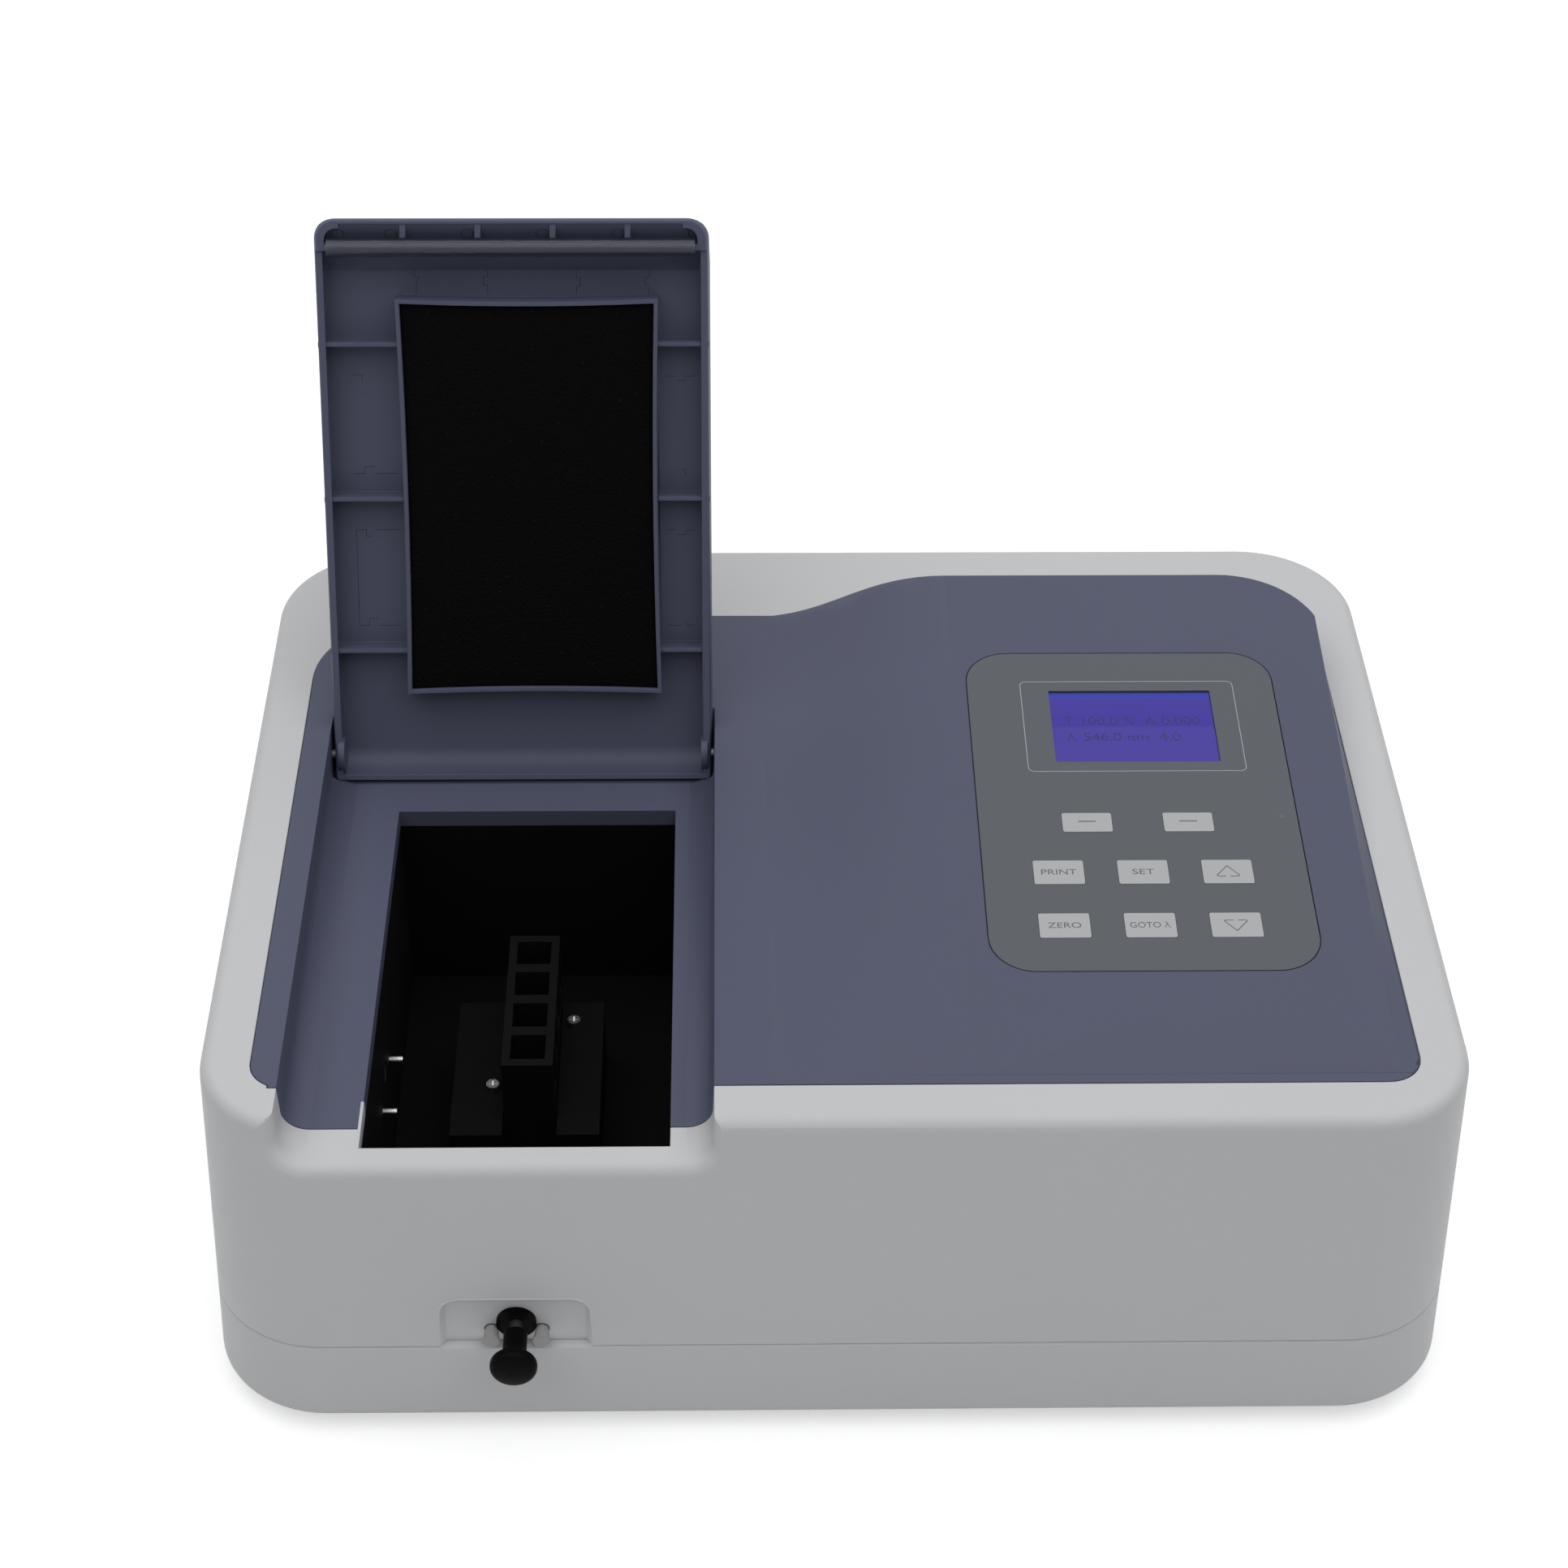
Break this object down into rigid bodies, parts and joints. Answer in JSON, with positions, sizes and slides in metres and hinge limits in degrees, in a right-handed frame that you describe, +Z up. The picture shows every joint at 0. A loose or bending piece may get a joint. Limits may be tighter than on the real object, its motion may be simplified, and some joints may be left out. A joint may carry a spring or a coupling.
{
  "type": "visible spectrophotometer",
  "caption": "Bench-top visible spectrophotometer: hinged compartment lid, pull-rod cell slide, sloping keypad console, with optics and electronics inside.",
  "frame": {"origin": "on the bench, under the middle of the box that holds the instrument with its lid open and its knob", "axes": "+X to the right of someone facing the keypad, +Y to the rear, +Z up"},
  "size_m": [0.4388, 0.3637, 0.3254],
  "materials": {
    "white_plastic": "fine matt moulding",
    "blue_plastic": "fine matt moulding",
    "black_rubber": "matt",
    "grey_film": "satin printed film",
    "key_white": "satin",
    "clear_window": "clear",
    "lcd_glow": "back-lit display",
    "circuit_green": "solder mask",
    "black_foam": "open foam",
    "steel": "bright plated",
    "black_sheet": "matt black",
    "black_plastic": "satin",
    "light_plastic": "matt",
    "optical_glass": "polished",
    "filter_glass": "polished, tinted",
    "mirror_glass": "polished",
    "cast_aluminium": "as cast and machined",
    "dark_metal": "black",
    "sheet_metal": "satin sheet",
    "white_ceramic": "unglazed"
  },
  "bodies": {
    "housing": {"base_tray": "white_plastic", "beam_windows": "optical_glass", "carriage_guide": "black_sheet", "compartment_liner": "black_sheet", "data_ports": "sheet_metal", "detector_board": "circuit_green", "detector_housing": "black_sheet", "fan_frame": "black_plastic", "filter_motor": "dark_metal", "front_plugs": "light_plastic", "grating_motor": "dark_metal", "guide_screws": "steel", "halogen_lamp": "optical_glass", "hinge_pins": "steel", "keypad_board": "circuit_green", "keypad_overlay": "grey_film", "lamp_house": "sheet_metal", "lamp_socket": "white_ceramic", "lcd_module": "circuit_green", "lcd_screen": "lcd_glow", "lcd_window": "clear_window", "machine_screws": "steel", "main_board": "circuit_green", "mirrors": "mirror_glass", "monochromator_body": "cast_aluminium", "monochromator_cover": "cast_aluminium", "optical_base": "cast_aluminium", "plate_screws": "steel", "port_studs": "steel", "power_inlet": "black_plastic", "power_supply": "sheet_metal", "power_switch": "black_plastic", "rear_plate": "sheet_metal", "rod_bush": "black_plastic", "rubber_feet": "black_rubber", "slit_plates": "dark_metal", "top_panel": "blue_plastic", "upper_cover": "white_plastic"},
    "lid": {"lid": "blue_plastic", "lid_pad": "black_foam", "lid_strip": "clear_window"},
    "cell_slide": {"carriage": "black_sheet", "cuvette_holder": "black_sheet", "pull_rod": "steel", "pull_knob": "black_plastic"},
    "rocker": {"switch_rocker": "black_plastic"},
    "fan": {"fan_rotor": "black_plastic"},
    "grating_turntable": {"grating_table": "cast_aluminium", "grating": "mirror_glass"},
    "filters": {"filter_wheel": "cast_aluminium", "filter_glasses": "filter_glass"},
    "key_soft_left": {"key_soft_left": "key_white"},
    "key_soft_right": {"key_soft_right": "key_white"},
    "key_upper_left": {"key_upper_left": "key_white"},
    "key_upper_middle": {"key_upper_middle": "key_white"},
    "key_upper_right": {"key_upper_right": "key_white"},
    "key_lower_left": {"key_lower_left": "key_white"},
    "key_lower_middle": {"key_lower_middle": "key_white"},
    "key_lower_right": {"key_lower_right": "key_white"}
  },
  "joints": [
    {"name": "lid_hinge", "type": "hinge", "parent": "housing", "child": "lid", "pos_m": [-0.11385, 0.05387, 0.1355], "axis": [1, 0, 0], "range_deg": [0, 111.4]},
    {"name": "cell_slide", "type": "slide", "parent": "housing", "child": "cell_slide", "axis": [0, -1, 0], "range_m": [0, 0.0507]},
    {"name": "power_rocker", "type": "hinge", "parent": "housing", "child": "rocker", "pos_m": [0.034, 0.17217, 0.0965], "axis": [1, 0, 0], "range_deg": [0, 14]},
    {"name": "fan_spin", "type": "hinge", "parent": "housing", "child": "fan", "pos_m": [-0.118, 0.16287, 0.0785], "axis": [0, 1, 0], "continuous": true},
    {"name": "grating_turn", "type": "hinge", "parent": "housing", "child": "grating_turntable", "pos_m": [0, -0.00663, 0.0855], "axis": [0, 0, 1], "range_deg": [-30, 30]},
    {"name": "filter_turn", "type": "hinge", "parent": "housing", "child": "filters", "pos_m": [-0.062, 0.07437, 0.0855], "axis": [1, 0, 0], "continuous": true},
    {"name": "key_soft_left_press", "type": "slide", "parent": "housing", "child": "key_soft_left", "axis": [0, 0.0803, -0.9968], "range_m": [0, 0.00025], "stiffness_N_per_m": 400, "springref_m": -0.0005},
    {"name": "key_soft_right_press", "type": "slide", "parent": "housing", "child": "key_soft_right", "axis": [0, 0.0803, -0.9968], "range_m": [0, 0.00025], "stiffness_N_per_m": 400, "springref_m": -0.0005},
    {"name": "key_upper_left_press", "type": "slide", "parent": "housing", "child": "key_upper_left", "axis": [0, 0.0803, -0.9968], "range_m": [0, 0.00025], "stiffness_N_per_m": 400, "springref_m": -0.0005},
    {"name": "key_upper_middle_press", "type": "slide", "parent": "housing", "child": "key_upper_middle", "axis": [0, 0.0803, -0.9968], "range_m": [0, 0.00025], "stiffness_N_per_m": 400, "springref_m": -0.0005},
    {"name": "key_upper_right_press", "type": "slide", "parent": "housing", "child": "key_upper_right", "axis": [0, 0.0803, -0.9968], "range_m": [0, 0.00025], "stiffness_N_per_m": 400, "springref_m": -0.0005},
    {"name": "key_lower_left_press", "type": "slide", "parent": "housing", "child": "key_lower_left", "axis": [0, 0.0803, -0.9968], "range_m": [0, 0.00025], "stiffness_N_per_m": 400, "springref_m": -0.0005},
    {"name": "key_lower_middle_press", "type": "slide", "parent": "housing", "child": "key_lower_middle", "axis": [0, 0.0803, -0.9968], "range_m": [0, 0.00025], "stiffness_N_per_m": 400, "springref_m": -0.0005},
    {"name": "key_lower_right_press", "type": "slide", "parent": "housing", "child": "key_lower_right", "axis": [0, 0.0803, -0.9968], "range_m": [0, 0.00025], "stiffness_N_per_m": 400, "springref_m": -0.0005}
  ]
}
